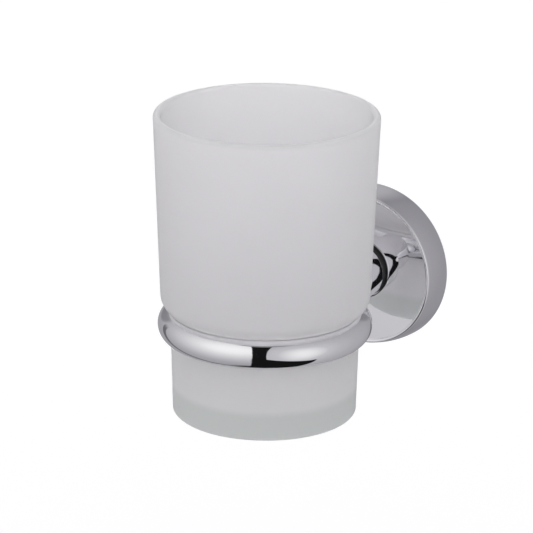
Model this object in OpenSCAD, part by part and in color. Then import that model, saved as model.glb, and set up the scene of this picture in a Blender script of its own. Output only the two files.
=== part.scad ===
// Wall-mounted toothbrush tumbler holder.
// A frosted glass tumbler hangs by its shoulder in a round-section ring. An arm carries the
// ring from a shallow round rosette, which covers and clamps onto a bracket on the wall.
// Frame: the wall is the plane Y = 0, the holder stands out towards -Y, and +Z is up.
// The origin is on the wall, at the centre of the rosette and of the two wall screws.

/* [Tumbler] */
// Outer radius at the rim
cup_rim_r = 35.2; // [33.6:0.1:40]
// Height of the rim above the middle of the ring
cup_above_ring = 68.5; // [45:0.5:110]
// Depth of the underside below the middle of the ring
cup_below_ring = 28.8; // [18:0.2:60]
// How far the upper body overhangs the ring's bore
cup_overhang = 2.8; // [2.2:0.1:3.2]
// Radius that the lower body loses between the ring and the underside
cup_lower_taper = 0.85; // [0:0.05:2.5]
// Thickness of the glass wall
cup_wall = 2.4; // [1.6:0.1:3]
// Thickness of the solid glass base
cup_base = 9.2; // [3:0.1:12]
// Rounding of the shoulder that rests on the ring
cup_shoulder_round = 6; // [3.5:0.1:7]
// Rounding of the edge of the underside
cup_foot_round = 1; // [0.5:0.1:4]
// Rounding inside, between wall and base
cup_floor_round = 3; // [1:0.1:6]

/* [Ring] */
// Radius of the bore that the tumbler's lower body drops through
ring_bore_r = 30.2; // [28:0.1:32]
// Depth of the ring, from its bore to its outer edge
ring_depth = 3.6; // [3:0.1:4.2]
// Radius of the ring's round section
ring_section_r = 4.9; // [4.2:0.05:5.5]

/* [Arm] */
// Distance from the wall to the tumbler's axis
reach = 70.5; // [66:0.5:95]
// Radius of the collar that seats against the rosette
collar_r = 9.4; // [8.5:0.1:11]
// Length of the collar
collar_length = 8; // [4:0.1:10]
// Radius of the stem between collar and ring
stem_r = 6.7; // [6:0.1:8]
// Radius of the stem's nose, where it meets the ring
nose_r = 3.4; // [3.2:0.1:3.8]
// Length over which the stem narrows to its nose
nose_length = 6.5; // [4:0.1:7]
// Radius of the threaded spigot that the nut pulls on
spigot_r = 3; // [2.5:0.1:3.5]

/* [Rosette] */
// Radius at the wall
rosette_r = 27; // [26:0.1:34]
// How far the raised edge round the face lies inside the radius at the wall
edge_inset = 1.6; // [1.2:0.1:2.4]
// Depth from the wall to the raised edge
rosette_depth = 10; // [9.8:0.1:14]
// Thickness of the side wall at the wall plane
side_wall = 3; // [2:0.1:4]
// How far the polished face lies behind its raised edge
face_drop = 0.85; // [0.65:0.05:1]
// Thickness of the face plate beside its raised edge
face_wall = 2.35; // [1.7:0.05:2.6]

/* [Gasket] */
// Thickness of the black gasket that shows between rosette and collar
gasket_shown = 2.1; // [1:0.1:4]
// Depth of the recess in the face that centres the gasket
gasket_recess = 1.3; // [0.8:0.1:1.5]

/* [Wall bracket] */
// Spacing of the two wall screw holes
hole_spacing = 30; // [27:0.5:33]
// Radius of the wall screw holes
hole_r = 2.25; // [1.5:0.05:2.8]
// Thickness of the bracket's plate
bracket_plate = 2; // [1.2:0.1:2.6]
// Depth of the bracket's flange from the wall
bracket_depth = 4.4; // [3.6:0.1:4.6]

/* [Hidden] */
$fn = 96;

// Clearances and the overrun of cuts
seat_gap = 0.3;
cup_side_gap = 0.3;
thread_gap = 0.05;
bolt_gap = 0.2;
slip_gap = 0.25;
over = 1;
arc_steps = 10;

// Slightly crowned face: its rise towards the neck, its bulge, and the roundings at both sides
face_rise = 0.3;
face_bulge = 0.03;
edge_bead_r = 0.55;
neck_round = 0.35;
side_bulge = 0.35;
corner_round = 1.8;
hub_pad_r = 11;
hub_pad_drop = 0.8;

// Nut and washers inside the rosette, M6
washer_r = 6;
washer_thick = 1;
spring_washer_r = 5.2;
spring_washer_thick = 1.3;
nut_flats = 10;
nut_thick = 3;
nut_room = 1.5;
nut_bore_r = spigot_r + thread_gap;
washer_bore_r = spigot_r + bolt_gap;
split_width = 1;

// Ring screw, M4 with a countersunk head
screw_r = 1.95;
screw_head_r = 3.7;
screw_length = 12;
screw_sink = 0.2;
screw_socket_flats = 2.5;
screw_socket_depth = 1.6;
tap_r = screw_r + thread_gap;
screw_hole_r = screw_r + bolt_gap;
tap_spare = 1.5;

// Grub screw, M4, in the underside of the rosette
grub_r = 1.95;
grub_height = 4;
grub_length = 4;
grub_tip_length = 1;
grub_tip_r = 0.9;
grub_socket_flats = 2;
grub_socket_depth = 1.8;
grub_hole_r = grub_r + thread_gap;
boss_half_width = 4;
boss_inward = 1.4;
boss_gap = 1;

// Small edges of the arm and the gasket
collar_chamfer = 0.5;
gasket_round = 0.45;
gasket_inset = 0.1;
nose_bury = 3.2;

// Ring
ring_outer_r = ring_bore_r + ring_depth;
ring_centre_r = ring_outer_r - ring_section_r;
ring_corner_z = sqrt(pow(ring_section_r, 2) - pow(ring_bore_r - ring_centre_r, 2));

// Tumbler: the shoulder's arc lies seat_gap off the top corner of the ring's bore
cup_shoulder_r = ring_bore_r + cup_overhang;
cup_lower_r = ring_bore_r - cup_side_gap;
cup_foot_r = cup_lower_r - cup_lower_taper;
shoulder_x = cup_shoulder_r - cup_shoulder_round;
shoulder_z = ring_corner_z
    + sqrt(pow(cup_shoulder_round + seat_gap, 2) - pow(ring_bore_r - shoulder_x, 2));
shoulder_end = -acos((cup_lower_r - shoulder_x) / cup_shoulder_round);
rim_round = cup_wall / 2;
inner_round = cup_shoulder_round - cup_wall;
inner_turn = -75;
floor_z = cup_base - cup_below_ring;

// Rosette, measured out from the wall
face_edge_r = rosette_r - edge_inset;
face_low = rosette_depth - face_drop;
face_high = face_low + face_rise;
plate_back = face_low - face_wall;
pad_back = plate_back - hub_pad_drop;
gasket_r = collar_r - gasket_inset;
recess_r = gasket_r + slip_gap;
neck_edge_r = recess_r + neck_round;
neck_height = face_high - neck_round;
recess_floor = neck_height - gasket_recess;
collar_start = neck_height + gasket_shown;
collar_end = collar_start + collar_length;
edge_bead_x = face_edge_r - edge_bead_r;
edge_bead_h = rosette_depth - edge_bead_r;
edge_wall_x = edge_bead_x - edge_bead_r;
cavity_r = rosette_r - side_wall;

// Stack on the spigot, measured out from the wall
washer_h = pad_back - washer_thick;
spring_washer_h = washer_h - spring_washer_thick;
nut_h = spring_washer_h - nut_thick;
spigot_end = nut_h - bolt_gap;

// Bracket
flange_r = cavity_r - slip_gap;
flange_wall = 1.8;
nut_hole_r = nut_flats / sqrt(3) + nut_room;
flat_z = -(cavity_r - boss_inward - boss_gap);
pad_half_width = 6;
pad_thick = 3.2;

// Stem's nose and the ring screw, measured out from the wall
nose_top = reach - ring_outer_r;
nose_start = nose_top - nose_length;
nose_end = nose_top + nose_bury;
ring_bore_h = reach - ring_bore_r;
screw_top_h = ring_bore_h - screw_sink;
screw_cone_h = screw_head_r - screw_r;
tap_floor_h = screw_top_h - screw_length - tap_spare;

// Points along an arc about (cx, cy)
function arc(cx, cy, r, from, to, steps = arc_steps) =
    [for (i = [0:steps]) let (a = from + (to - from) * i / steps) [cx + r * cos(a), cy + r * sin(a)]];

// Points from p to q on a shallow bow that bulges to the right of the way by s
function bow(p, q, s, steps = arc_steps) =
    let (d = q - p, n = [d[1], -d[0]] / norm(d))
    [for (i = [0:steps]) let (t = i / steps) p + d * t + n * s * 4 * t * (1 - t)];

// Turns a shape built up from the wall so that it stands out from the wall
module from_wall() {
    rotate([90, 0, 0]) children();
}

// A cylinder that stands out from the wall, from height h1 to h2
module out_cylinder(r, h1, h2) {
    from_wall() translate([0, 0, h1]) cylinder(r = r, h = h2 - h1);
}

// Hexagonal recess or head, flats wide, up from the origin
module hexagon(flats, h) {
    cylinder(r = flats / sqrt(3), h = h, $fn = 6);
}

// Moves to the tumbler's axis
module at_cup() {
    translate([0, -reach, 0]) children();
}

// Half section of the glass: up the outside, over the rim and down the inside
module cup_section() {
    foot_x = cup_foot_r - cup_foot_round;
    rim_x = cup_rim_r - rim_round;
    rim_z = cup_above_ring - rim_round;
    floor_x = cup_foot_r - cup_wall - cup_floor_round;
    polygon(concat(
        [[0, -cup_below_ring]],
        arc(foot_x, cup_foot_round - cup_below_ring, cup_foot_round, -90, 0),
        arc(shoulder_x, shoulder_z, cup_shoulder_round, shoulder_end, 0),
        arc(rim_x, rim_z, rim_round, 0, 180),
        arc(shoulder_x, shoulder_z, inner_round, 0, inner_turn),
        [[cup_lower_r - cup_wall, shoulder_z - cup_shoulder_round]],
        arc(floor_x, floor_z + cup_floor_round, cup_floor_round, 0, -90),
        [[0, floor_z]]
    ));
}

module tumbler() {
    color([0.86, 0.88, 0.89, 0.6])
        at_cup() rotate_extrude() cup_section();
}

// The whole round section of the ring, before its bore flattens the inner side
module ring_torus() {
    at_cup() rotate_extrude() translate([ring_centre_r, 0]) circle(r = ring_section_r);
}

module holder_ring() {
    color([0.80, 0.81, 0.83]) difference() {
        ring_torus();
        at_cup() translate([0, 0, -ring_section_r - over])
            cylinder(r = ring_bore_r, h = 2 * (ring_section_r + over));
        out_cylinder(screw_hole_r, nose_top - over, ring_bore_h + over);
        countersink(screw_head_r + slip_gap);
    }
}

// Cone under a countersunk head, out past the ring's bore
module countersink(r) {
    from_wall() translate([0, 0, screw_top_h - r + screw_hole_r])
        cylinder(r1 = screw_hole_r, r2 = r, h = r - screw_hole_r);
    out_cylinder(r, screw_top_h, ring_bore_h + over);
}

module ring_screw() {
    color([0.62, 0.63, 0.65]) difference() {
        from_wall() {
            translate([0, 0, screw_top_h - screw_length])
                cylinder(r = screw_r, h = screw_length);
            translate([0, 0, screw_top_h - screw_cone_h])
                cylinder(r1 = screw_r, r2 = screw_head_r, h = screw_cone_h);
        }
        from_wall() translate([0, 0, screw_top_h - screw_socket_depth])
            hexagon(screw_socket_flats, screw_socket_depth + over);
    }
}

// Half section of the turned arm: spigot, collar, stem and nose
module arm_section() {
    polygon(concat(
        [[0, spigot_end], [spigot_r, spigot_end], [spigot_r, collar_start]],
        [[collar_r - collar_chamfer, collar_start], [collar_r, collar_start + collar_chamfer]],
        [[collar_r, collar_end - collar_chamfer], [collar_r - collar_chamfer, collar_end]],
        [[stem_r, collar_end]],
        bow([stem_r, nose_start], [nose_r, nose_top], (stem_r - nose_r) / 4),
        [[nose_r, nose_end], [0, nose_end]]
    ));
}

module arm() {
    color([0.80, 0.81, 0.83]) difference() {
        from_wall() rotate_extrude() arm_section();
        ring_torus();
        out_cylinder(tap_r, tap_floor_h, nose_end + over);
    }
}

// Black gasket in the recess of the rosette's face
module gasket() {
    color([0.06, 0.06, 0.07]) difference() {
        from_wall() rotate_extrude() polygon(concat(
            [[0, recess_floor], [gasket_r, recess_floor]],
            arc(gasket_r - gasket_round, collar_start - gasket_round, gasket_round, 0, 90),
            [[0, collar_start]]
        ));
        out_cylinder(washer_bore_r, recess_floor - over, collar_start + over);
    }
}

// Half section of the rosette: side wall, raised edge, crowned face and rounded neck
module rosette_section() {
    difference() {
        union() {
            polygon(concat(
                [[0, 0]],
                bow([rosette_r, 0], [face_edge_r, edge_bead_h], side_bulge),
                [[edge_wall_x, edge_bead_h]],
                bow([edge_wall_x, face_low], [neck_edge_r, face_high], face_bulge),
                [[neck_edge_r, neck_height], [0, neck_height]]
            ));
            translate([edge_bead_x, edge_bead_h]) circle(r = edge_bead_r);
            translate([neck_edge_r, neck_height]) circle(r = neck_round);
        }
        cavity_section();
        translate([0, recess_floor]) square([recess_r, gasket_recess + neck_round + over]);
        translate([0, -over]) square([washer_bore_r, rosette_depth + over]);
    }
}

// Hollow behind the face, with a thicker pad round the spigot
module cavity_section() {
    polygon(concat(
        [[0, -over], [cavity_r, -over]],
        arc(cavity_r - corner_round, plate_back - corner_round, corner_round, 0, 90),
        [[hub_pad_r + hub_pad_drop, plate_back], [hub_pad_r, pad_back], [0, pad_back]]
    ));
}

module rosette() {
    color([0.80, 0.81, 0.83]) difference() {
        union() {
            from_wall() rotate_extrude() rosette_section();
            thread_boss();
        }
        translate([0, -grub_height, -rosette_r - over])
            cylinder(r = grub_hole_r, h = side_wall + boss_inward + 2 * over);
    }
}

// Thickening inside the side wall that holds the grub screw's thread
module thread_boss() {
    from_wall() translate([0, 0, bracket_plate / 2]) linear_extrude(plate_back - bracket_plate / 2)
        intersection() {
            translate([-boss_half_width, -cavity_r - side_wall / 2])
                square([2 * boss_half_width, boss_inward + side_wall / 2]);
            circle(r = cavity_r + side_wall / 2);
        }
}

module flat_washer() {
    color([0.70, 0.71, 0.73]) difference() {
        out_cylinder(washer_r, washer_h, pad_back);
        out_cylinder(washer_bore_r, washer_h - over, pad_back + over);
    }
}

// Spring washer, flattened by the nut, with its split at the top
module spring_washer() {
    color([0.55, 0.56, 0.58]) difference() {
        out_cylinder(spring_washer_r, spring_washer_h, washer_h);
        out_cylinder(washer_bore_r, spring_washer_h - over, washer_h + over);
        from_wall() translate([-split_width / 2, 0, spring_washer_h - over])
            cube([split_width, spring_washer_r + over, spring_washer_thick + 2 * over]);
    }
}

module hex_nut() {
    color([0.70, 0.71, 0.73]) difference() {
        from_wall() translate([0, 0, nut_h]) hexagon(nut_flats, nut_thick);
        out_cylinder(nut_bore_r, nut_h - over, nut_h + nut_thick + over);
    }
}

// Bracket on the wall: a plate with a flange that the rosette hangs on, cut flat at its foot
module wall_bracket() {
    color([0.66, 0.67, 0.69]) difference() {
        union() {
            out_cylinder(flange_r, 0, bracket_plate);
            difference() {
                out_cylinder(flange_r, 0, bracket_depth);
                out_cylinder(flange_r - flange_wall, bracket_plate / 2, bracket_depth + over);
            }
            from_wall() translate([-pad_half_width, flat_z, 0])
                cube([2 * pad_half_width, pad_thick, bracket_depth + grub_r]);
        }
        from_wall() translate([-flange_r, flat_z - flange_r, -over])
            cube([2 * flange_r, flange_r, bracket_depth + grub_r + 2 * over]);
        out_cylinder(nut_hole_r, -over, bracket_plate + over);
        for (side = [-1, 1]) translate([side * hole_spacing / 2, 0, 0])
            out_cylinder(hole_r, -over, bracket_plate + over);
        translate([0, -grub_height, flat_z - over])
            cylinder(r = grub_hole_r, h = grub_tip_length + over);
    }
}

// Grub screw: its cone tip seats in the dimple of the bracket's flat
module grub_screw() {
    tip_z = flat_z + grub_tip_length - seat_gap;
    foot_z = tip_z - grub_length;
    color([0.50, 0.51, 0.53]) translate([0, -grub_height, 0]) difference() {
        union() {
            translate([0, 0, foot_z]) cylinder(r = grub_r, h = grub_length - grub_tip_length);
            translate([0, 0, tip_z - grub_tip_length])
                cylinder(r1 = grub_r, r2 = grub_tip_r, h = grub_tip_length);
        }
        translate([0, 0, foot_z - over]) hexagon(grub_socket_flats, grub_socket_depth + over);
    }
}

tumbler();
holder_ring();
ring_screw();
arm();
gasket();
rosette();
flat_washer();
spring_washer();
hex_nut();
wall_bracket();
grub_screw();
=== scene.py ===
"""Looks of the wall-mounted toothbrush holder: polished chrome, frosted glass and zinc-plated steel."""
import math

import bmesh
import bpy
from mathutils import Matrix, Vector


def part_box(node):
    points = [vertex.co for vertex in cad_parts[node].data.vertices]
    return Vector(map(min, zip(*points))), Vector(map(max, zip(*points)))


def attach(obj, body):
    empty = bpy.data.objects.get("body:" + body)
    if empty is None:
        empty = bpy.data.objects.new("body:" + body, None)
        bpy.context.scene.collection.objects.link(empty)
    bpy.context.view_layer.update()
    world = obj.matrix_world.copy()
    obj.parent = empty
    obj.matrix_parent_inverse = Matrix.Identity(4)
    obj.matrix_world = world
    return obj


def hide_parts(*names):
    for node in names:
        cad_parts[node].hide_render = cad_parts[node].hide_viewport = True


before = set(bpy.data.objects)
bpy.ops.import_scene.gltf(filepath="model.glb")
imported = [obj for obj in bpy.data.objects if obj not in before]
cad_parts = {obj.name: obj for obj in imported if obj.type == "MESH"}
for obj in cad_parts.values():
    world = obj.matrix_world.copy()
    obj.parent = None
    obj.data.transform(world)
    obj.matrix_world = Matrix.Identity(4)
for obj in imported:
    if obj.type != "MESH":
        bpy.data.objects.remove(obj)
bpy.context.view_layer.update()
MM = 0.001

# Corners of the nodes' boxes, in metres
CUP_LOW, CUP_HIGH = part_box("tumbler")
ROSETTE_LOW, ROSETTE_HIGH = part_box("rosette")
GASKET_LOW, GASKET_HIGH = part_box("gasket")
NUT_LOW, NUT_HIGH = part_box("hex_nut")
RING_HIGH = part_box("holder_ring")[1]
ARM_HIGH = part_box("arm")[1]
SCREW_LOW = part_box("ring_screw")[0]
CUP_AXIS_Y = (CUP_LOW.y + CUP_HIGH.y) / 2

# Camera, solved from the photograph: angles in degrees, distances in millimetres, focal length in pixels
CAM_AZIMUTH, CAM_ELEVATION, CAM_ROLL = 31.09, 18.98, 0.52
CAM_DISTANCE, CAM_FOCAL_PX = 1032.4, 3278.9
# Its aim, to the right of the ring's middle and above it
CAM_RIGHT, CAM_UP = 0.449, 17.51
SENSOR_MM, IMAGE_PX = 36, 533
CLIP_NEAR, CLIP_FAR = 0.05, 20


def direction(azimuth, elevation):
    """Unit vector from the object: azimuth 0 points away from the wall and 90 to the right."""
    a, e = math.radians(azimuth), math.radians(elevation)
    return Vector((math.sin(a) * math.cos(e), -math.cos(a) * math.cos(e), math.sin(e)))


def add_object(name, data):
    """New object with this data, linked to the scene."""
    made = bpy.data.objects.new(name, data)
    bpy.context.scene.collection.objects.link(made)
    return made


def make_camera():
    """Camera at the photograph's viewpoint, aimed past the tumbler's axis."""
    back = direction(CAM_AZIMUTH, CAM_ELEVATION)
    level = Vector((math.cos(math.radians(CAM_AZIMUTH)), math.sin(math.radians(CAM_AZIMUTH)), 0))
    above = back.cross(level)
    roll = math.radians(CAM_ROLL)
    right = level * math.cos(roll) + above * math.sin(roll)
    up = above * math.cos(roll) - level * math.sin(roll)
    place = Vector((0, CUP_AXIS_Y, 0)) + (right * CAM_RIGHT + up * CAM_UP + back * CAM_DISTANCE) * MM
    data = bpy.data.cameras.new("photo_camera")
    data.sensor_width = SENSOR_MM
    data.lens = SENSOR_MM * CAM_FOCAL_PX / IMAGE_PX
    data.clip_start, data.clip_end = CLIP_NEAR, CLIP_FAR
    camera = add_object("photo_camera", data)
    axes = Matrix((right, up, back)).transposed().to_4x4()
    camera.matrix_world = Matrix.Translation(place) @ axes
    bpy.context.scene.camera = camera


make_camera()


# Ring, in millimetres, with heights from its own middle
RING_BORE_R, RING_SECTION_R = 30.2, 4.9
RING_OUTER_R = RING_HIGH.x / MM
RING_CENTRE_R = RING_OUTER_R - RING_SECTION_R
RING_CORNER_Z = math.sqrt(RING_SECTION_R ** 2 - (RING_BORE_R - RING_CENTRE_R) ** 2)

# Screw hole through the ring: the head's top, measured from the wall, and the radii of hole and seat
SCREW_TOP, SCREW_HOLE_R, SCREW_SEAT_R = -SCREW_LOW.y / MM, 2.15, 3.95

# Tumbler, in millimetres, with heights from the ring's middle: the shoulder rests SEAT_GAP off the ring
CUP_RIM_R, CUP_TOP, CUP_BOTTOM = CUP_HIGH.x / MM, CUP_HIGH.z / MM, CUP_LOW.z / MM
CUP_OVERHANG, CUP_SIDE_GAP, SEAT_GAP, CUP_TAPER = 2.8, 0.3, 0.3, 0.85
CUP_WALL, CUP_BASE, SHOULDER_ROUND, FOOT_ROUND, INNER_FLOOR_ROUND = 2.4, 9.2, 6, 1, 3
# Angle at which the inside leaves the shoulder's arc, in degrees
INNER_SHOULDER_TURN = -75
SHOULDER_X = RING_BORE_R + CUP_OVERHANG - SHOULDER_ROUND
SHOULDER_Z = RING_CORNER_Z + math.sqrt((SHOULDER_ROUND + SEAT_GAP) ** 2 - (RING_BORE_R - SHOULDER_X) ** 2)
LOWER_R = RING_BORE_R - CUP_SIDE_GAP
FOOT_R = LOWER_R - CUP_TAPER
FLOOR_Z = CUP_BOTTOM + CUP_BASE

# Rosette and gasket, in millimetres out from the wall
ROSETTE_R, ROSETTE_DEPTH = ROSETTE_HIGH.x / MM, -ROSETTE_LOW.y / MM
EDGE_INSET, EDGE_BEAD_R, SIDE_BULGE = 1.6, 0.55, 0.35
FACE_EDGE_R = ROSETTE_R - EDGE_INSET
FACE_DROP, FACE_RISE, FACE_BULGE, NECK_ROUND = 0.85, 0.3, 0.03, 0.35
FACE_LOW = ROSETTE_DEPTH - FACE_DROP
FACE_HIGH = FACE_LOW + FACE_RISE
SIDE_WALL, FACE_WALL, CORNER_ROUND = 3, 2.35, 1.8
CAVITY_R, PLATE_BACK = ROSETTE_R - SIDE_WALL, FACE_LOW - FACE_WALL
HUB_PAD_R, HUB_PAD_DROP, SPIGOT_HOLE_R = 11, 0.8, 3.2
GASKET_R, GASKET_ROUND, SLIP_GAP = GASKET_HIGH.x / MM, 0.45, 0.25
RECESS_FLOOR, COLLAR_START = -GASKET_HIGH.y / MM, -GASKET_LOW.y / MM

# Thread boss inside the rosette's lower side, and the grub screw's hole through it
BOSS_HALF, BOSS_INWARD, BOSS_START, BOSS_BITE = 4, 1.4, 1, 0.3
GRUB_HOLE_R, GRUB_HEIGHT = 2, 4

# Arm, in millimetres out from the wall
COLLAR_R, COLLAR_LENGTH, COLLAR_CHAMFER = ARM_HIGH.x / MM, 8, 0.5
COLLAR_END = COLLAR_START + COLLAR_LENGTH
STEM_R, NOSE_R, NOSE_LENGTH, NOSE_BURY = 6.7, 3.4, 6.5, 3.2
NOSE_TOP = -CUP_AXIS_Y / MM - RING_OUTER_R
SPIGOT_R, SPIGOT_END = 3, -ARM_HIGH.y / MM
THREAD_PITCH, THREAD_DEPTH, THREAD_ROWS = 1.0, 0.5, 90

# Nut, in millimetres; NUT_CORNER_R marks the rows that take the hexagon's shape
NUT_FLATS, NUT_BORE_R, NUT_BORE_CHAMFER = 10, 3.05, 0.3
NUT_CHAMFER_R, NUT_CHAMFER_SLOPE, NUT_CORNER_R = 4.75, 0.577, 5.75


# Node helpers
class Nodes:
    """Short calls that add nodes to one node tree and link them."""

    def __init__(self, tree):
        self.tree = tree
        tree.nodes.clear()

    def add(self, kind, **settings):
        """New shader node of this kind."""
        node = self.tree.nodes.new("ShaderNode" + kind)
        for name, value in settings.items():
            setattr(node, name, value)
        return node

    def put(self, value, socket):
        """Links value to socket, or sets it there if it is a plain number or colour."""
        if isinstance(value, bpy.types.NodeSocket):
            self.tree.links.new(value, socket)
        elif value is not None:
            socket.default_value = value

    def fill(self, node, **values):
        """Puts each value in the node's input of that name."""
        for name, value in values.items():
            self.put(value, node.inputs[name])

    def math(self, operation, a, b=None, c=None):
        """Result of one operation on up to three numbers."""
        node = self.add("Math", operation=operation)
        for value, socket in zip((a, b, c), node.inputs):
            self.put(value, socket)
        return node.outputs[0]

    def product(self, result, *factors):
        """Product of two or more numbers."""
        for factor in factors:
            result = self.math("MULTIPLY", result, factor)
        return result

    def blend(self, share, a, b):
        """Plain number between a and b."""
        return self.math("ADD", self.product(self.math("SUBTRACT", b, a), share), a)

    def dot(self, vector, fixed):
        """Dot product of a vector with a fixed one."""
        node = self.add("VectorMath", operation="DOT_PRODUCT")
        self.put(vector, node.inputs[0])
        self.put(tuple(fixed), node.inputs[1])
        return node.outputs["Value"]

    def parts(self, vector):
        """The x, y and z of a vector."""
        node = self.add("SeparateXYZ")
        self.put(vector, node.inputs[0])
        return node.outputs

    def length(self, a, b):
        """Length of a flat vector with the sides a and b."""
        return self.math("SQRT", self.math("ADD", self.math("POWER", a, 2), self.math("POWER", b, 2)))

    def step(self, value, low, high, to_low=0.0, to_high=1.0):
        """Smooth step of value from low to high."""
        node = self.add("MapRange", interpolation_type="SMOOTHSTEP")
        for given, socket in zip((value, low, high, to_low, to_high), node.inputs):
            self.put(given, socket)
        return node.outputs[0]

    def mix(self, share, a, b):
        """Colour between a and b."""
        node = self.add("Mix", data_type="RGBA")
        # Sockets of the share and of the two colours
        for given, place in ((share, 0), (a, 6), (b, 7)):
            self.put(given, node.inputs[place])
        return node.outputs[2]

    def noise(self, vector, scale, detail=2.0, roughness=0.5):
        """Cloudy noise between 0 and 1."""
        node = self.add("TexNoise")
        self.fill(node, Vector=vector, Scale=scale, Detail=detail, Roughness=roughness)
        return node.outputs[0]

    def ramp(self, value, stops):
        """Grey ramp through (position, level) stops."""
        node = self.add("ValToRGB")
        self.put(value, node.inputs[0])
        marks = node.color_ramp.elements
        while len(marks) < len(stops):
            marks.new(0.5)
        for mark, (position, level) in zip(marks, stops):
            mark.position = position
            mark.color = (level, level, level, 1)
        return node.outputs[0]

    def seen_through(self):
        """1 for rays from the camera and for rays that come through glass, else 0."""
        path = self.add("LightPath")
        return self.math("MAXIMUM", path.outputs["Is Camera Ray"], path.outputs["Is Transmission Ray"])


# Studio that mirrored rays see. Levels are radiances; widths and heights are parts of a unit direction.
# Two panels: where each lies, its factor on a ray's height, and (cosine off its middle, level) stops
LEFT_PANEL, LEFT_STRETCH = direction(-9, 36), 1
LEFT_STOPS = ((-0.4, 0.37), (0, 0.43), (0.3, 0.53), (0.6, 0.675), (0.8, 0.81), (0.92, 0.94), (1, 1.01))
RIGHT_PANEL, RIGHT_STRETCH = direction(73, 4), 0.56
RIGHT_STOPS = ((-0.4, 0.34), (0, 0.415), (0.4, 0.45), (0.7, 0.51), (0.88, 0.59), (0.96, 0.785), (1, 0.92))
# A ramp holds levels up to 1, so the panels' levels are divided by this one and multiplied back
PANEL_TOP = 1.02
# Shade straight below and a grey ceiling straight above
NADIR_LOW, NADIR_HIGH, NADIR_SHADE = -1.0, -0.93, 0.1
CEILING_LOW, CEILING_HIGH, CEILING_LEVEL = 0.935, 0.965, 0.26
# Dark gap between the panels, with uneven sides
GAP_AZIMUTH, GAP_LEFT, GAP_RIGHT, GAP_SOFT = 26, -0.13, 0.11, 0.012
GAP_TOP, GAP_TOP_SOFT, GAP_BACK_SOFT = 0.965, 0.03, 0.05
WOBBLE, WOBBLE_SCALE, WOBBLE_DETAIL = 0.03, 7, 3
# Dark ground, with its edges on a level one unit below; LEAST_DEPTH keeps the division in bounds
GROUND_LEFT, GROUND_LEFT_LEAN = -0.04, 0.34
GROUND_RIGHT, GROUND_RIGHT_LEAN, GROUND_TIP_LEAN = 1.0, 0.25, 0.6
GROUND_BACK, GROUND_BACK_LEAN, GROUND_SOFT = -0.29, 0.155, 0.06
HORIZON, HORIZON_SOFT, LEAST_DEPTH = -0.15, 0.05, 0.01
# Dim upright stand on the left
STAND_AZIMUTH, STAND_HALF, STAND_SOFT, STAND_SHADE = -101, 0.055, 0.04, 0.36
STAND_TOP, STAND_TOP_SOFT, STAND_BACK_SOFT = 0.02, 0.3, 0.1
# Three dim spots and a bright one: middle, cosines at the edge and at the core, and factor in the core
SPOTS = (
    (direction(-125, 13), 0.95, 0.985, 0.62),
    (direction(-168, 12), 0.955, 0.985, 0.68),
    (direction(-165, -14), 0.965, 0.99, 0.4),
    (direction(-143, 40), 0.87, 1.0, 1.8),
)
DARK_LEVEL = 0.008
# Tints of dark and of bright places, and the levels at which they are full
VIOLET, NEUTRAL = (1, 0.985, 1.06, 1), (1, 0.995, 1.0, 1)
TINT_LOW, TINT_HIGH = 0.1, 1.0
WHITE = (1, 1, 1, 1)

# Plain soft light on everything that isn't a mirror, a little stronger from the front and above
PLAIN_LEVEL, PLAIN_SLOPE = 0.83, 0.22
PLAIN_SIDE = direction(-5, 40)


def beside(towards):
    """Level direction a quarter turn to the right of towards."""
    return -towards.y, towards.x, 0


def panel(n, way, towards, stretch, stops):
    """Radiance of a wide soft panel around towards, taller where stretch is under 1."""
    flat = n.add("VectorMath", operation="MULTIPLY")
    n.put(way, flat.inputs[0])
    n.put((1, 1, stretch), flat.inputs[1])
    unit = n.add("VectorMath", operation="NORMALIZE")
    n.put(flat.outputs[0], unit.inputs[0])
    facing = n.math("MULTIPLY_ADD", n.dot(unit.outputs[0], towards), 0.5, 0.5)
    level = n.ramp(facing, [(position / 2 + 0.5, value / PANEL_TOP) for position, value in stops])
    return n.product(level, PANEL_TOP)


def stand_share(n, way, height):
    """1 on the upright stand, 0 off it."""
    towards = direction(STAND_AZIMUTH, 0)
    off = n.math("ABSOLUTE", n.dot(way, beside(towards)))
    return n.product(
        n.step(off, STAND_HALF + STAND_SOFT, STAND_HALF),
        n.step(n.dot(way, towards), 0.0, STAND_BACK_SOFT),
        n.step(height, STAND_TOP + STAND_TOP_SOFT, STAND_TOP),
    )


def ground_share(n, way, height):
    """1 on the dark ground, 0 off it."""
    depth = n.math("MAXIMUM", n.product(height, -1.0), LEAST_DEPTH)
    side = n.math("DIVIDE", n.dot(way, (1, 0, 0)), depth)
    ahead = n.math("DIVIDE", n.dot(way, (0, -1, 0)), depth)
    left = n.math("MULTIPLY_ADD", ahead, GROUND_LEFT_LEAN, GROUND_LEFT)
    right = n.math("MULTIPLY_ADD", ahead, GROUND_RIGHT_LEAN, GROUND_RIGHT)
    right = n.math("ADD", right, n.math("MAXIMUM", n.product(ahead, -GROUND_TIP_LEAN), 0.0))
    from_back = n.math("MULTIPLY_ADD", side, -GROUND_BACK_LEAN, ahead)
    return n.product(
        n.step(n.math("SUBTRACT", side, left), -GROUND_SOFT, 0.0),
        n.step(n.math("SUBTRACT", right, side), -GROUND_SOFT, GROUND_SOFT),
        n.step(from_back, GROUND_BACK - GROUND_SOFT, GROUND_BACK),
        n.step(height, HORIZON, HORIZON - HORIZON_SOFT),
    )


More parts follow.
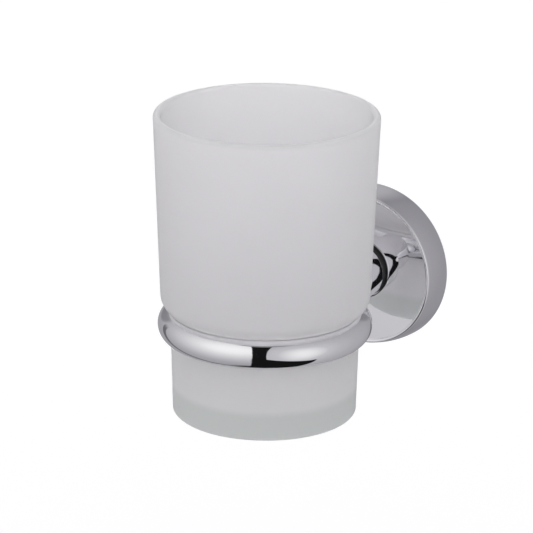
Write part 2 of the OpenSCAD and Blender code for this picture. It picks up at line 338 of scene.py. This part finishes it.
def studio(n, way):
    """Radiance that a mirror sees in the direction way."""
    height = n.dot(way, (0, 0, 1))
    towards_gap = direction(GAP_AZIMUTH, 0)
    wobble = n.math("MULTIPLY_ADD", n.noise(way, WOBBLE_SCALE, WOBBLE_DETAIL), WOBBLE, -WOBBLE / 2)
    across = n.math("ADD", n.dot(way, beside(towards_gap)), wobble)
    right_of_gap = n.step(across, GAP_LEFT - GAP_SOFT, GAP_LEFT)
    left = panel(n, way, LEFT_PANEL, LEFT_STRETCH, LEFT_STOPS)
    right = panel(n, way, RIGHT_PANEL, RIGHT_STRETCH, RIGHT_STOPS)
    lit = n.blend(right_of_gap, left, right)
    lit = n.product(lit, n.step(height, NADIR_LOW, NADIR_HIGH, NADIR_SHADE, 1.0))
    lit = n.blend(n.step(height, CEILING_LOW, CEILING_HIGH), lit, CEILING_LEVEL)
    lit = n.product(lit, n.math("MULTIPLY_ADD", stand_share(n, way, height), STAND_SHADE - 1, 1.0))
    for towards, edge, core, shade in SPOTS:
        lit = n.product(lit, n.step(n.dot(way, towards), edge, core, 1.0, shade))
    in_gap = n.product(
        right_of_gap,
        n.step(across, GAP_RIGHT + GAP_SOFT, GAP_RIGHT),
        n.step(n.dot(way, towards_gap), -GAP_BACK_SOFT, 0.0),
        n.step(height, GAP_TOP, GAP_TOP - GAP_TOP_SOFT),
    )
    dark = n.math("MAXIMUM", in_gap, ground_share(n, way, height))
    return n.math("ADD", n.product(lit, n.math("SUBTRACT", 1.0, dark)), DARK_LEVEL)


def make_world():
    """World: studio for mirrored rays, white for the camera and through glass, plain light otherwise."""
    world = bpy.data.worlds.new("studio")
    bpy.context.scene.world = world
    world.use_nodes = True
    n = Nodes(world.node_tree)
    way = n.add("TexCoord").outputs["Generated"]
    plain = n.math("MULTIPLY_ADD", n.dot(way, PLAIN_SIDE), PLAIN_SLOPE, PLAIN_LEVEL)
    path = n.add("LightPath")
    # Mirrored rays that no matt surface has scattered before
    unscattered = n.math("LESS_THAN", path.outputs["Diffuse Depth"], 0.5)
    mirrored = n.product(path.outputs["Is Glossy Ray"], unscattered)
    level = n.blend(mirrored, plain, studio(n, way))
    lit = n.add("Background")
    n.put(n.mix(n.step(level, TINT_LOW, TINT_HIGH), VIOLET, NEUTRAL), lit.inputs[0])
    n.put(level, lit.inputs[1])
    white = n.add("Background")
    n.put(WHITE, white.inputs[0])
    n.put(1.0, white.inputs[1])
    chooser = n.add("MixShader")
    n.put(n.seen_through(), chooser.inputs[0])
    n.put(lit.outputs[0], chooser.inputs[1])
    n.put(white.outputs[0], chooser.inputs[2])
    n.put(chooser.outputs[0], n.add("OutputWorld").inputs[0])


# Floor, in metres: how far it lies below the tumbler and half its width
FLOOR_DROP, FLOOR_HALF = 0.12, 4.0
FLOOR_COLOUR = (0.92, 0.92, 0.93, 1)
FLOOR_GLOW = 0.16


def make_floor():
    """Plain pale floor that keeps the object's shadow."""
    level = CUP_LOW.z - FLOOR_DROP
    corners = [(x * FLOOR_HALF, y * FLOOR_HALF, level) for x, y in ((-1, -1), (1, -1), (1, 1), (-1, 1))]
    mesh = bpy.data.meshes.new("floor")
    mesh.from_pydata(corners, [], [(0, 1, 2, 3)])
    floor = add_object("floor", mesh)
    material = bpy.data.materials.new("pale_floor")
    material.use_nodes = True
    n = Nodes(material.node_tree)
    paint = n.add("BsdfDiffuse")
    n.put(FLOOR_COLOUR, paint.inputs[0])
    glow = n.add("Emission")
    n.put(n.product(n.seen_through(), FLOOR_GLOW), glow.inputs[1])
    both = n.add("AddShader")
    n.put(paint.outputs[0], both.inputs[0])
    n.put(glow.outputs[0], both.inputs[1])
    n.put(both.outputs[0], n.add("OutputMaterial").inputs[0])
    mesh.materials.append(material)
    floor.visible_glossy = False


make_world()
make_floor()


# Chrome, and a darker copy of it on the rosette's side wall as painted shade: two colours between which the
# clouding moves
CHROME = (0.845, 0.841, 0.860, 1), (0.880, 0.877, 0.895, 1)
SIDE_CHROME_PAINTED_SHADE = (0.610, 0.605, 0.625, 1), (0.640, 0.635, 0.655, 1)
# Radii between which the rosette's painted-shade side wall begins, in millimetres past the face's edge
SIDE_STARTS = -0.02, 0.15
# Haze: the noise levels between which it grows, and the roughness at both
CHROME_HAZE = 0.45, 0.75, 0.025, 0.07

# Glass: tones with a pair of colours for the clouding, then plain ones. The top, middle and low tones are
# painted shading: lighter towards the top, darkest just above the ring, a little lighter again below it
MILK_TOP_PAINTED_LIGHT = (0.888, 0.878, 0.900, 1), (0.908, 0.898, 0.920, 1)
MILK_MIDDLE_PAINTED_SHADE = (0.810, 0.800, 0.822, 1), (0.830, 0.820, 0.842, 1)
MILK_LOW_PAINTED_SHADING = (0.855, 0.845, 0.862, 1), (0.875, 0.865, 0.882, 1)
MILK_BASE, MILK_RIM = (0.735, 0.755, 0.75, 1), (0.80, 0.81, 0.81, 1)
SEAT_PAINTED_LIGHT, INSIDE_PAINTED_LIGHT = (0.95, 0.945, 0.955, 1), (0.980, 0.972, 0.990, 1)
# Heights in metres over which one tone of the glass turns into the next
TOP_TONE, LOWER_TONE = (0.003, 0.066), (-0.002, 0.002)
BASE_TONE = FLOOR_Z * MM + 0.0012, FLOOR_Z * MM - 0.0018
RIM_TONE = CUP_HIGH.z - 0.0016, CUP_HIGH.z - 0.0004
# Heights in metres between which the thick shoulder above the ring gets painted light: a whiter colour and a
# painted glow
SEAT_LIT_LOW, SEAT_LIT_HIGH = (0.0046, 0.0054), (0.0073, 0.0052)
SEAT_GLOW_LOW, SEAT_GLOW_HIGH = (0.0046, 0.0054), (0.0066, 0.005)
SEAT_GLOW, SEAT_GLOW_COLOUR = 0.11, (1.0, 0.99, 1.0, 1.0)
# Middle of the glass wall, in metres: radius at ring height, widening per height, and softness
WALL_MIDDLE, WALL_LEAN, WALL_SOFT = 0.03147, 0.0377, 0.0004
# Heights in metres over which the painted light on the tumbler's inside starts
INSIDE_STARTS = 0.008, 0.012
# Part of a fine noise's range that the roughness follows
GRAIN = 0.3, 0.7


def surface(name):
    """New material with its Principled shader, node helpers and object coordinates."""
    material = bpy.data.materials.new(name)
    material.use_nodes = True
    n = Nodes(material.node_tree)
    shader = n.add("BsdfPrincipled")
    n.put(shader.outputs[0], n.add("OutputMaterial").inputs[0])
    return material, n, shader.inputs, n.add("TexCoord").outputs["Object"]


def bump(n, sockets, height, strength, distance):
    """Fine relief from a height."""
    node = n.add("Bump")
    n.fill(node, Height=height, Strength=strength, Distance=distance)
    n.put(node.outputs[0], sockets["Normal"])


def make_chrome(name, painted_side_shade=False):
    """Polished plating: a cool grey mirror with faint clouding and haze, with painted shade darkening a side
    wall if asked.
    """
    material, n, sockets, place = surface(name)
    cloud = n.noise(place, scale=90, detail=3)
    plating = n.mix(cloud, *CHROME)
    if painted_side_shade:
        # Painted shade: the side wall takes the darker copy of the chrome
        x, _, z = n.parts(place)
        side_shade_share = n.step(n.length(x, z), *[(FACE_EDGE_R + start) * MM for start in SIDE_STARTS])
        plating = n.mix(side_shade_share, plating, n.mix(cloud, *SIDE_CHROME_PAINTED_SHADE))
    n.put(plating, sockets["Base Color"])
    n.put(1.0, sockets["Metallic"])
    haze = n.noise(place, scale=260, detail=4, roughness=0.6)
    n.put(n.step(haze, *CHROME_HAZE), sockets["Roughness"])
    return material


def make_glass():
    """Frosted glass: milky, a little denser and greener in the thick base and on the rim, with painted light:
    lighter towards the top, whiter inside, and whitened and glowing just above the ring.
    """
    material, n, sockets, place = surface("frosted_glass")
    x, y, height = n.parts(place)
    cloud = n.noise(place, scale=60, detail=3)
    top, middle, low = (n.mix(cloud, *pair) for pair in (MILK_TOP_PAINTED_LIGHT, MILK_MIDDLE_PAINTED_SHADE, MILK_LOW_PAINTED_SHADING))
    # Painted light and shade by height: lighter towards the top, darkest just above the ring
    milk_and_painted_light = n.mix(n.step(height, *TOP_TONE), middle, top)
    milk_and_painted_light = n.mix(n.step(height, *LOWER_TONE), low, milk_and_painted_light)
    milk_and_painted_light = n.mix(n.step(height, *BASE_TONE), milk_and_painted_light, MILK_BASE)
    # Painted light: the shoulder band that meets the ring in shade is whitened
    seat_painted_light_share = n.product(n.step(height, *SEAT_LIT_LOW), n.step(height, *SEAT_LIT_HIGH))
    milk_and_painted_light = n.mix(seat_painted_light_share, milk_and_painted_light, SEAT_PAINTED_LIGHT)
    milk_and_painted_light = n.mix(n.step(height, *RIM_TONE), milk_and_painted_light, MILK_RIM)
    # Painted light: the tumbler's inside is whiter than its outside
    radius = n.length(x, n.math("ADD", y, -CUP_AXIS_Y))
    upright = n.math("MULTIPLY_ADD", height, -WALL_LEAN, radius)
    painted_light_inside = n.product(n.step(upright, WALL_MIDDLE + WALL_SOFT, WALL_MIDDLE), n.step(height, *INSIDE_STARTS))
    n.put(n.mix(painted_light_inside, milk_and_painted_light, INSIDE_PAINTED_LIGHT), sockets["Base Color"])
    # Painted glow in the same band, standing in for light; nothing there is a lamp
    glow = n.product(n.step(height, *SEAT_GLOW_LOW), n.step(height, *SEAT_GLOW_HIGH), SEAT_GLOW)
    n.put(glow, sockets["Emission Strength"])
    grain = n.noise(place, scale=2600, detail=2, roughness=0.7)
    n.put(n.step(grain, *GRAIN, 0.52, 0.66), sockets["Roughness"])
    for name, value in (
        ("Emission Color", SEAT_GLOW_COLOUR), ("IOR", 1.5), ("Transmission Weight", 0.45),
        ("Subsurface Weight", 0.85), ("Subsurface Radius", (1.0, 1.0, 1.0)), ("Subsurface Scale", 0.008),
    ):
        n.put(value, sockets[name])
    bump(n, sockets, grain, strength=0.12, distance=0.00005)
    return material


def make_rubber():
    """Matt black moulded rubber."""
    material, n, sockets, place = surface("black_rubber")
    fleck = n.noise(place, scale=900, detail=3, roughness=0.6)
    n.put(n.mix(fleck, (0.012, 0.012, 0.013, 1), (0.026, 0.026, 0.028, 1)), sockets["Base Color"])
    n.put(n.step(fleck, *GRAIN, 0.45, 0.62), sockets["Roughness"])
    bump(n, sockets, fleck, strength=0.25, distance=0.00008)
    return material


def make_steel(name, dark, pale, smooth, rough, grain_scale):
    """Zinc-plated steel between two greys and two roughnesses, with a fine worked grain."""
    material, n, sockets, place = surface(name)
    grain = n.noise(place, grain_scale, detail=4, roughness=0.65)
    patch = n.noise(place, scale=120, detail=3)
    n.put(n.mix(patch, (*dark, 1), (*pale, 1)), sockets["Base Color"])
    n.put(1.0, sockets["Metallic"])
    n.put(n.step(grain, *GRAIN, smooth, rough), sockets["Roughness"])
    bump(n, sockets, grain, strength=0.15, distance=0.00005)
    return material


# Mesh helpers, in millimetres measured from a piece's own axis
SEGMENTS, CIRCLE_STEPS = 256, 64
# Distance in metres under which points are welded, and the least angle of a sharp edge
WELD_M, SHARP_ANGLE = 1e-7, math.radians(30)
TO_METRES = Matrix.Scale(MM, 4)
# Places a mesh whose heights are measured out from the wall
FROM_WALL = Matrix.Rotation(math.radians(90), 4, "X") @ TO_METRES


def arc(cx, cy, r, start, end, steps=16):
    """Points on an arc, angles in degrees."""
    turns = [math.radians(start + (end - start) * i / steps) for i in range(steps + 1)]
    return [(cx + r * math.cos(t), cy + r * math.sin(t)) for t in turns]


def line(p, q, steps=1):
    """Points from p up to q, without q."""
    return [(p[0] + (q[0] - p[0]) * i / steps, p[1] + (q[1] - p[1]) * i / steps) for i in range(steps)]


def bow(p, q, bulge, steps=16):
    """Points from p to q on a shallow bow that bulges to the right of the way."""
    length = math.dist(p, q)
    nx, ny = (q[1] - p[1]) / length, (p[0] - q[0]) / length
    shares = [i / steps for i in range(steps + 1)]
    return [(p[0] + (q[0] - p[0]) * t + nx * bulge * 4 * t * (1 - t),
             p[1] + (q[1] - p[1]) * t + ny * bulge * 4 * t * (1 - t)) for t in shares]


def circle(radius):
    """Corners of a fine polygon in place of a circle."""
    turns = [2 * math.pi * i / CIRCLE_STEPS for i in range(CIRCLE_STEPS)]
    return [(radius * math.cos(t), radius * math.sin(t)) for t in turns]


def smooth_shade(mesh):
    """Smooth shading, with sharp edges kept."""
    mesh.polygons.foreach_set("use_smooth", [True] * len(mesh.polygons))
    mesh.set_sharp_from_angle(angle=SHARP_ANGLE)


def lathe(name, section, material, node, body, centre_y=None, shape=None, closed=False):
    """Turns (radius, height) points about the vertical axis at centre_y, or else about the wall's normal.

    Where shape is given, it moves each point by its turn, radius and height.
    """
    points, faces = [], []
    for radius, height in section:
        for i in range(SEGMENTS):
            turn = 2 * math.pi * i / SEGMENTS
            r, h = shape(turn, radius, height) if shape else (radius, height)
            x, y = r * math.cos(turn), r * math.sin(turn)
            if centre_y is None:
                points.append((x * MM, -h * MM, y * MM))
            else:
                points.append((x * MM, centre_y + y * MM, h * MM))
    rows = len(section)
    for j in range(rows if closed else rows - 1):
        for i in range(SEGMENTS):
            k, m = (i + 1) % SEGMENTS, (j + 1) % rows
            faces.append((j * SEGMENTS + i, j * SEGMENTS + k, m * SEGMENTS + k, m * SEGMENTS + i))
    mesh = bpy.data.meshes.new(name)
    mesh.from_pydata(points, [], faces)
    return finish_piece(name, mesh, material, node, body)


def finish_piece(name, mesh, material, node, body):
    """Welds, orients and smooths a mesh, then puts it in the CAD node's place."""
    work = bmesh.new()
    work.from_mesh(mesh)
    bmesh.ops.remove_doubles(work, verts=work.verts, dist=WELD_M)
    bmesh.ops.dissolve_degenerate(work, edges=work.edges, dist=WELD_M)
    bmesh.ops.recalc_face_normals(work, faces=work.faces)
    work.to_mesh(mesh)
    work.free()
    mesh.materials.append(material)
    smooth_shade(mesh)
    piece = add_object(name, mesh)
    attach(piece, body)
    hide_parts(node)
    return piece


def prism(name, corners, low, high):
    """Straight prism on (x, y) corners between two heights, with its lower corners first."""
    count = len(corners)
    points = [(x, y, h) for h in (low, high) for x, y in corners]
    sides = [(i, (i + 1) % count, (i + 1) % count + count, i + count) for i in range(count)]
    ends = [tuple(range(count))[::-1], tuple(range(count, 2 * count))]
    mesh = bpy.data.meshes.new(name)
    mesh.from_pydata(points, [], sides + ends)
    return mesh


def combine(piece, operation, mesh, place):
    """Cuts a mesh out of the piece or joins it to the piece; place puts the mesh in the piece's frame."""
    tool = add_object(mesh.name, mesh)
    tool.matrix_world = place
    change = piece.modifiers.new("change", "BOOLEAN")
    change.operation, change.object, change.solver = operation, tool, "EXACT"
    bpy.context.view_layer.update()
    seen = piece.evaluated_get(bpy.context.evaluated_depsgraph_get())
    changed = bpy.data.meshes.new_from_object(seen)
    piece.modifiers.clear()
    piece.data = changed
    bpy.data.objects.remove(tool)
    smooth_shade(changed)


# Drills: depth and overrun in the ring, overlap of its countersink, and overrun in the rosette
DRILL_DEPTH, DRILL_PAST, SINK_PAST, GRUB_DRILL_PAST = 12, 2, 0.05, 1


def make_tumbler(material):
    """Frosted tumbler: up the outside, over the rounded rim and down the inside."""
    shoulder_end = -math.degrees(math.acos((LOWER_R - SHOULDER_X) / SHOULDER_ROUND))
    rim = CUP_WALL / 2
    foot = arc(FOOT_R - FOOT_ROUND, CUP_BOTTOM + FOOT_ROUND, FOOT_ROUND, -90, 0)
    shoulder = arc(SHOULDER_X, SHOULDER_Z, SHOULDER_ROUND, shoulder_end, 0)
    over_rim = arc(CUP_RIM_R - rim, CUP_TOP - rim, rim, 0, 180)
    inner = arc(SHOULDER_X, SHOULDER_Z, SHOULDER_ROUND - CUP_WALL, 0, INNER_SHOULDER_TURN)
    floor_x = FOOT_R - CUP_WALL - INNER_FLOOR_ROUND
    floor = arc(floor_x, FLOOR_Z + INNER_FLOOR_ROUND, INNER_FLOOR_ROUND, 0, -90)
    neck = (LOWER_R - CUP_WALL, SHOULDER_Z - SHOULDER_ROUND)
    section = (
        line((0, CUP_BOTTOM), foot[0], steps=6) + foot[:-1]
        + line(foot[-1], shoulder[0], steps=12) + shoulder[:-1]
        + line(shoulder[-1], over_rim[0], steps=24) + over_rim[:-1]
        + line(over_rim[-1], inner[0], steps=24) + inner
        + line(neck, floor[0], steps=10) + floor[:-1]
        + line(floor[-1], (0, FLOOR_Z), steps=6) + [(0, FLOOR_Z)]
    )
    lathe("tumbler_glass", section, material, "tumbler", "tumbler_body", centre_y=CUP_AXIS_Y)


def make_ring(material):
    """Round-section ring with a straight bore and a countersunk screw hole towards the arm."""
    start = math.degrees(math.asin(RING_CORNER_Z / RING_SECTION_R))
    outside = arc(RING_CENTRE_R, 0, RING_SECTION_R, -start, start, steps=72)
    bore = line((RING_BORE_R, RING_CORNER_Z), (RING_BORE_R, -RING_CORNER_Z), steps=8)
    ring = lathe("ring_chrome", outside[:-1] + bore, material, "holder_ring", "holder",
                 centre_y=CUP_AXIS_Y, closed=True)
    past = SCREW_TOP + DRILL_PAST
    for radius, low in ((SCREW_HOLE_R, SCREW_TOP - DRILL_DEPTH), (SCREW_SEAT_R, SCREW_TOP)):
        combine(ring, "DIFFERENCE", prism("drill", circle(radius), low, past), FROM_WALL)
    cone_low = SCREW_TOP - SCREW_SEAT_R + SCREW_HOLE_R
    cone = prism("drill", circle(SCREW_SEAT_R), cone_low, SCREW_TOP + SINK_PAST)
    for vertex in cone.vertices[:CIRCLE_STEPS]:
        vertex.co.x *= SCREW_HOLE_R / SCREW_SEAT_R
        vertex.co.y *= SCREW_HOLE_R / SCREW_SEAT_R
    combine(ring, "DIFFERENCE", cone, FROM_WALL)


def make_rosette(material):
    """Shallow cover: side wall, raised edge, mirror face, gasket recess, hollow and thread boss."""
    bead_x, bead_h = FACE_EDGE_R - EDGE_BEAD_R, ROSETTE_DEPTH - EDGE_BEAD_R
    recess_r = GASKET_R + SLIP_GAP
    neck_r = recess_r + NECK_ROUND
    pad_back = PLATE_BACK - HUB_PAD_DROP
    section = (
        bow((ROSETTE_R, 0), (FACE_EDGE_R, bead_h), SIDE_BULGE)
        + arc(bead_x, bead_h, EDGE_BEAD_R, 10, 180, steps=14)
        + bow((bead_x - EDGE_BEAD_R, FACE_LOW), (neck_r, FACE_HIGH), FACE_BULGE, steps=32)
        + arc(neck_r, FACE_HIGH - NECK_ROUND, NECK_ROUND, 95, 180, steps=8)
        + [(recess_r, RECESS_FLOOR), (SPIGOT_HOLE_R, RECESS_FLOOR), (SPIGOT_HOLE_R, pad_back)]
        + [(HUB_PAD_R, pad_back), (HUB_PAD_R + HUB_PAD_DROP, PLATE_BACK)]
        + arc(CAVITY_R - CORNER_ROUND, PLATE_BACK - CORNER_ROUND, CORNER_ROUND, 90, 0)
        + [(CAVITY_R, 0)]
    )
    rosette = lathe("rosette_chrome", section, material, "rosette", "holder", closed=True)
    low, high = -CAVITY_R - SIDE_WALL / 2, -CAVITY_R + BOSS_INWARD
    corners = [(-BOSS_HALF, low), (BOSS_HALF, low), (BOSS_HALF, high), (-BOSS_HALF, high)]
    combine(rosette, "UNION", prism("boss", corners, BOSS_START, PLATE_BACK + BOSS_BITE), FROM_WALL)
    hole = prism("drill", circle(GRUB_HOLE_R), -ROSETTE_R - GRUB_DRILL_PAST, high + GRUB_DRILL_PAST)
    combine(rosette, "DIFFERENCE", hole, Matrix.Translation((0, -GRUB_HEIGHT * MM, 0)) @ TO_METRES)


def make_gasket(material):
    """Black ring between the rosette and the arm's collar."""
    section = (
        [(SPIGOT_HOLE_R, RECESS_FLOOR), (GASKET_R, RECESS_FLOOR)]
        + arc(GASKET_R - GASKET_ROUND, COLLAR_START - GASKET_ROUND, GASKET_ROUND, 0, 90, steps=8)
        + [(SPIGOT_HOLE_R, COLLAR_START)]
    )
    lathe("gasket_rubber", section, material, "gasket", "holder", closed=True)


def threaded(turn, radius, height):
    """Cuts a helical thread into the spigot and leaves the rest of the arm."""
    if radius != SPIGOT_R or not SPIGOT_END < height < COLLAR_START:
        return radius, height
    phase = (height / THREAD_PITCH - turn / (2 * math.pi)) % 1
    return radius - THREAD_DEPTH * (1 - abs(2 * phase - 1)), height


def make_arm(material):
    """Turned arm: threaded spigot, collar, stem and rounded nose."""
    threads = line((SPIGOT_R, SPIGOT_END), (SPIGOT_R, COLLAR_START), THREAD_ROWS)
    collar_x = COLLAR_R - COLLAR_CHAMFER
    section = (
        [(0, SPIGOT_END), (SPIGOT_R - THREAD_DEPTH, SPIGOT_END)] + threads[1:]
        + [(SPIGOT_R, COLLAR_START)]
        + arc(collar_x, COLLAR_START + COLLAR_CHAMFER, COLLAR_CHAMFER, -90, 0, steps=8)
        + arc(collar_x, COLLAR_END - COLLAR_CHAMFER, COLLAR_CHAMFER, 0, 90, steps=8)
        + [(STEM_R, COLLAR_END)]
        + bow((STEM_R, NOSE_TOP - NOSE_LENGTH), (NOSE_R, NOSE_TOP), (STEM_R - NOSE_R) / 4, steps=24)
        + [(NOSE_R, NOSE_TOP + NOSE_BURY), (0, NOSE_TOP + NOSE_BURY)]
    )
    lathe("arm_chrome", section, material, "arm", "holder", shape=threaded)


def make_nut(material):
    """Hexagon nut with chamfered corners."""
    low, high = -NUT_HIGH.y / MM, -NUT_LOW.y / MM

    def hexagon(turn, radius, height):
        """Moves the outer rows out to the hexagon's sides and bevels its corners."""
        if radius <= NUT_CHAMFER_R:
            return radius, height
        side = (math.degrees(turn) % 60) - 30
        reach = NUT_FLATS / 2 / math.cos(math.radians(side))
        drop = max(0, reach - NUT_CHAMFER_R) * NUT_CHAMFER_SLOPE
        return reach, height - drop if height > (low + high) / 2 else height + drop

    chamfer_r = NUT_BORE_R + NUT_BORE_CHAMFER
    section = [
        (NUT_BORE_R, low + NUT_BORE_CHAMFER), (chamfer_r, low), (NUT_CHAMFER_R, low), (NUT_CORNER_R, low),
        (NUT_CORNER_R, high), (NUT_CHAMFER_R, high), (chamfer_r, high), (NUT_BORE_R, high - NUT_BORE_CHAMFER),
    ]
    lathe("nut_steel", section, material, "hex_nut", "holder", shape=hexagon, closed=True)


chrome, rosette_chrome = make_chrome("polished_chrome"), make_chrome("rosette_plating_painted_shade", painted_side_shade=True)
screw_steel = make_steel("screw_steel", (0.50, 0.50, 0.51), (0.60, 0.60, 0.61), 0.24, 0.40, 1500)
bracket_steel = make_steel("bracket_steel", (0.56, 0.56, 0.57), (0.64, 0.65, 0.66), 0.30, 0.46, 700)
make_tumbler(make_glass())
make_ring(chrome)
make_rosette(rosette_chrome)
make_gasket(make_rubber())
make_arm(chrome)
make_nut(screw_steel)
for node, material in (
    ("ring_screw", screw_steel), ("flat_washer", screw_steel), ("spring_washer", screw_steel),
    ("grub_screw", screw_steel), ("wall_bracket", bracket_steel),
):
    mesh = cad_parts[node].data
    mesh.materials.clear()
    mesh.materials.append(material)

bpy.context.scene.view_settings.view_transform = "Standard"
